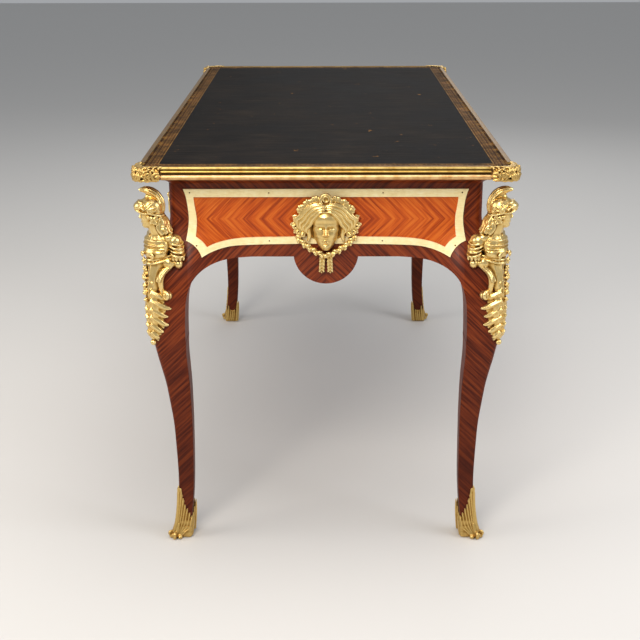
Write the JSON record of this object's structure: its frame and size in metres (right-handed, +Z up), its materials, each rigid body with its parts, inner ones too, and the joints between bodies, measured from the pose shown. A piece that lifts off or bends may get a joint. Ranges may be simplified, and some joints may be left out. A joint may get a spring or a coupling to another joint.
{
  "type": "bureau plat",
  "caption": "Flat-topped writing table with cabriole legs, frieze drawers, a leather top and cast bronze mounts.",
  "frame": {"origin": "on the floor under the middle of the top", "axes": "+X along the table's length, -Y towards the drawer side, +Z up"},
  "size_m": [1.524, 0.72, 0.78],
  "materials": {
    "oak_carcass": "planed, waxed",
    "kingwood_veneer": "french polished veneer",
    "tulipwood_veneer": "french polished veneer",
    "gilt_bronze": "cast, chased and gilt",
    "satin_bronze": "rolled, satin brushed",
    "dark_brass": "tarnished",
    "steel": "filed",
    "black_tooled_leather": "worn, tooled border"
  },
  "bodies": {
    "table": {"top_board": "oak_carcass", "leather_writing_surface": "black_tooled_leather", "edge_moulding": "gilt_bronze", "top_corner_mount_front_left": "gilt_bronze", "leg_front_left": "kingwood_veneer", "corner_bust_front_left": "gilt_bronze", "sabot_front_left": "gilt_bronze", "top_corner_mount_front_right": "gilt_bronze", "leg_front_right": "kingwood_veneer", "corner_bust_front_right": "gilt_bronze", "sabot_front_right": "gilt_bronze", "top_corner_mount_back_left": "gilt_bronze", "leg_back_left": "kingwood_veneer", "corner_bust_back_left": "gilt_bronze", "sabot_back_left": "gilt_bronze", "top_corner_mount_back_right": "gilt_bronze", "leg_back_right": "kingwood_veneer", "corner_bust_back_right": "gilt_bronze", "sabot_back_right": "gilt_bronze", "end_rail_left": "kingwood_veneer", "end_frame_left": "satin_bronze", "end_mask_left": "gilt_bronze", "end_rail_right": "kingwood_veneer", "end_frame_right": "satin_bronze", "end_mask_right": "gilt_bronze", "back_rail": "kingwood_veneer", "back_frames": "satin_bronze", "front_top_rail": "kingwood_veneer", "front_bottom_rail": "kingwood_veneer", "drawer_dividers": "oak_carcass", "drawer_guides": "oak_carcass", "frame_pins": "dark_brass", "top_screws": "steel"},
    "drawer_left": {"drawer_front_left": "tulipwood_veneer", "drawer_box_left": "oak_carcass", "drawer_bottom_left": "oak_carcass", "drawer_frame_left": "satin_bronze", "escutcheon_left": "gilt_bronze", "lock_case_left": "dark_brass", "handle_posts_left": "gilt_bronze"},
    "drawer_centre": {"drawer_front_centre": "tulipwood_veneer", "drawer_box_centre": "oak_carcass", "drawer_bottom_centre": "oak_carcass", "drawer_frame_centre": "satin_bronze", "escutcheon_centre": "gilt_bronze", "lock_case_centre": "dark_brass"},
    "drawer_right": {"drawer_front_right": "tulipwood_veneer", "drawer_box_right": "oak_carcass", "drawer_bottom_right": "oak_carcass", "drawer_frame_right": "satin_bronze", "escutcheon_right": "gilt_bronze", "lock_case_right": "dark_brass", "handle_posts_right": "gilt_bronze"},
    "bolt_left": {"lock_bolt_left": "steel"},
    "bolt_centre": {"lock_bolt_centre": "steel"},
    "bolt_right": {"lock_bolt_right": "steel"},
    "handle_left_a": {"drop_handle_left_a": "gilt_bronze"},
    "handle_left_b": {"drop_handle_left_b": "gilt_bronze"},
    "handle_right_a": {"drop_handle_right_a": "gilt_bronze"},
    "handle_right_b": {"drop_handle_right_b": "gilt_bronze"}
  },
  "joints": [
    {"name": "drawer_left_slide", "type": "slide", "parent": "table", "child": "drawer_left", "axis": [0, -1, 0], "range_m": [0, 0.3]},
    {"name": "drawer_centre_slide", "type": "slide", "parent": "table", "child": "drawer_centre", "axis": [0, -1, 0], "range_m": [0, 0.3]},
    {"name": "drawer_right_slide", "type": "slide", "parent": "table", "child": "drawer_right", "axis": [0, -1, 0], "range_m": [0, 0.3]},
    {"name": "bolt_left_slide", "type": "slide", "parent": "drawer_left", "child": "bolt_left", "axis": [0, 0, 1], "range_m": [0, 0.007]},
    {"name": "bolt_centre_slide", "type": "slide", "parent": "drawer_centre", "child": "bolt_centre", "axis": [0, 0, 1], "range_m": [0, 0.007]},
    {"name": "bolt_right_slide", "type": "slide", "parent": "drawer_right", "child": "bolt_right", "axis": [0, 0, 1], "range_m": [0, 0.007]},
    {"name": "handle_left_a_swing", "type": "hinge", "parent": "drawer_left", "child": "handle_left_a", "pos_m": [-0.555, -0.306, 0.692], "axis": [-1, 0, 0], "range_deg": [0, 90]},
    {"name": "handle_left_b_swing", "type": "hinge", "parent": "drawer_left", "child": "handle_left_b", "pos_m": [-0.335, -0.306, 0.692], "axis": [-1, 0, 0], "range_deg": [0, 90]},
    {"name": "handle_right_a_swing", "type": "hinge", "parent": "drawer_right", "child": "handle_right_a", "pos_m": [0.335, -0.306, 0.692], "axis": [-1, 0, 0], "range_deg": [0, 90]},
    {"name": "handle_right_b_swing", "type": "hinge", "parent": "drawer_right", "child": "handle_right_b", "pos_m": [0.555, -0.306, 0.692], "axis": [-1, 0, 0], "range_deg": [0, 90]}
  ]
}
